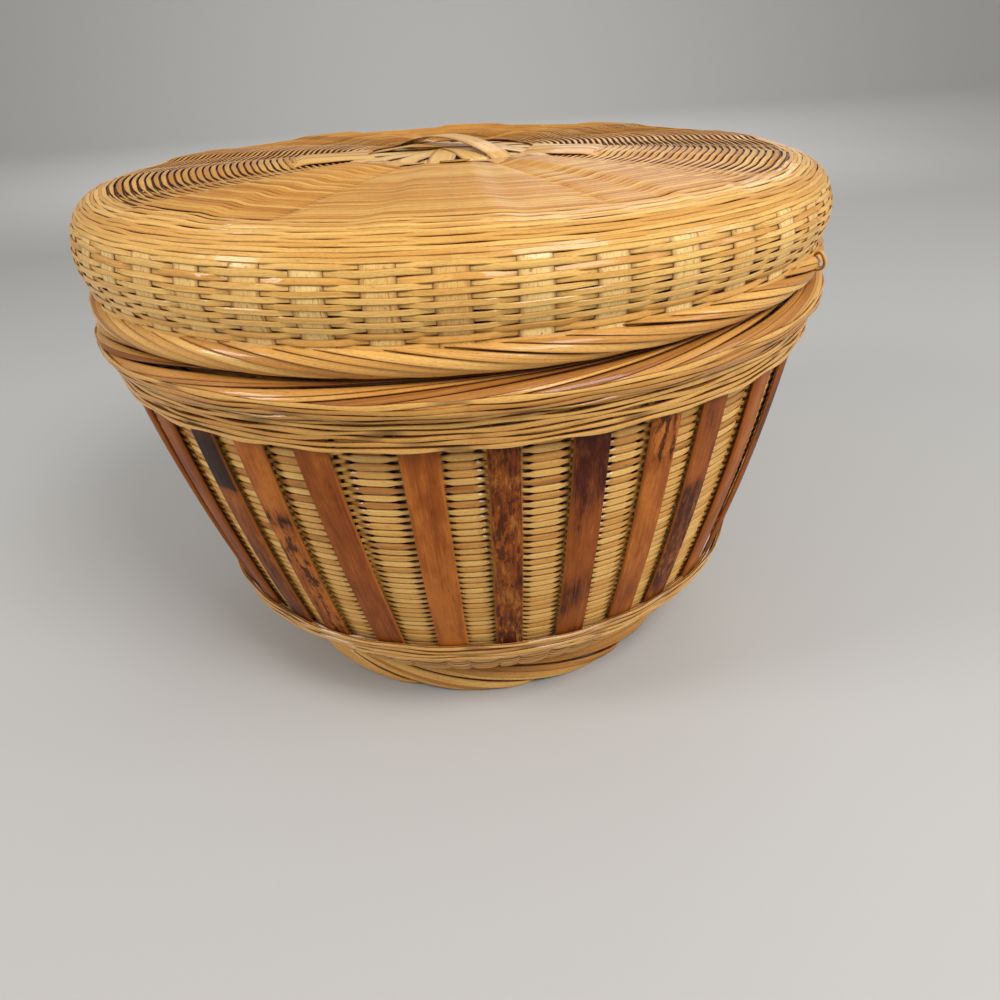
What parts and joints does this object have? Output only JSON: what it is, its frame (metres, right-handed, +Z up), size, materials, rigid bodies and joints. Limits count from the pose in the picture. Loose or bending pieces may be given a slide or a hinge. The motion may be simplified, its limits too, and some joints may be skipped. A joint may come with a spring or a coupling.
{
  "type": "lidded basket",
  "caption": "Round woven bamboo basket on a rolled foot, with dark slats round its flared wall and a shallow domed lift-off lid.",
  "frame": {"origin": "on the floor, under the middle of the foot", "axes": "+Z up along the basket's axis and the way the lid lifts off; -Y is the front"},
  "size_m": [0.34, 0.34, 0.2434],
  "materials": {
    "weft_bamboo": "varnished",
    "border_bamboo": "varnished",
    "pale_splint": "varnished",
    "smoked_slat": "varnished"
  },
  "bodies": {
    "basket": {"foot_border": "border_bamboo", "foot_hoop": "border_bamboo", "base_crossing": "pale_splint", "base_weave": "weft_bamboo", "bowl_weave": "weft_bamboo", "wall_weave": "weft_bamboo", "lower_band": "border_bamboo", "upper_band": "border_bamboo", "slat_01": "smoked_slat", "slat_02": "smoked_slat", "slat_03": "smoked_slat", "slat_04": "smoked_slat", "slat_05": "smoked_slat", "slat_06": "smoked_slat", "slat_07": "smoked_slat", "slat_08": "smoked_slat", "slat_09": "smoked_slat", "slat_10": "smoked_slat", "slat_11": "smoked_slat", "slat_12": "smoked_slat", "slat_13": "smoked_slat", "slat_14": "smoked_slat", "slat_15": "smoked_slat", "slat_16": "smoked_slat", "slat_17": "smoked_slat", "slat_18": "smoked_slat", "slat_19": "smoked_slat", "slat_20": "smoked_slat", "slat_21": "smoked_slat", "slat_22": "smoked_slat", "slat_23": "smoked_slat", "slat_24": "smoked_slat", "slat_25": "smoked_slat", "slat_26": "smoked_slat", "slat_27": "smoked_slat", "slat_28": "smoked_slat", "slat_29": "smoked_slat", "slat_30": "smoked_slat", "slat_31": "smoked_slat", "slat_32": "smoked_slat", "slat_33": "smoked_slat", "lid_collar": "border_bamboo", "rim_border": "border_bamboo"},
    "lid": {"lid_hoop": "border_bamboo", "lid_border": "border_bamboo", "lid_side_weave": "weft_bamboo", "lid_top_weave": "weft_bamboo", "crown_splint_1": "pale_splint", "crown_splint_2": "pale_splint", "crown_splint_3": "pale_splint", "crown_splint_4": "pale_splint", "crown_splint_5": "pale_splint", "crown_splint_6": "pale_splint", "crown_splint_7": "pale_splint"}
  },
  "joints": [
    {"name": "lid_lift", "type": "slide", "parent": "basket", "child": "lid", "axis": [0, 0, 1], "range_m": [0, 0.15]}
  ]
}
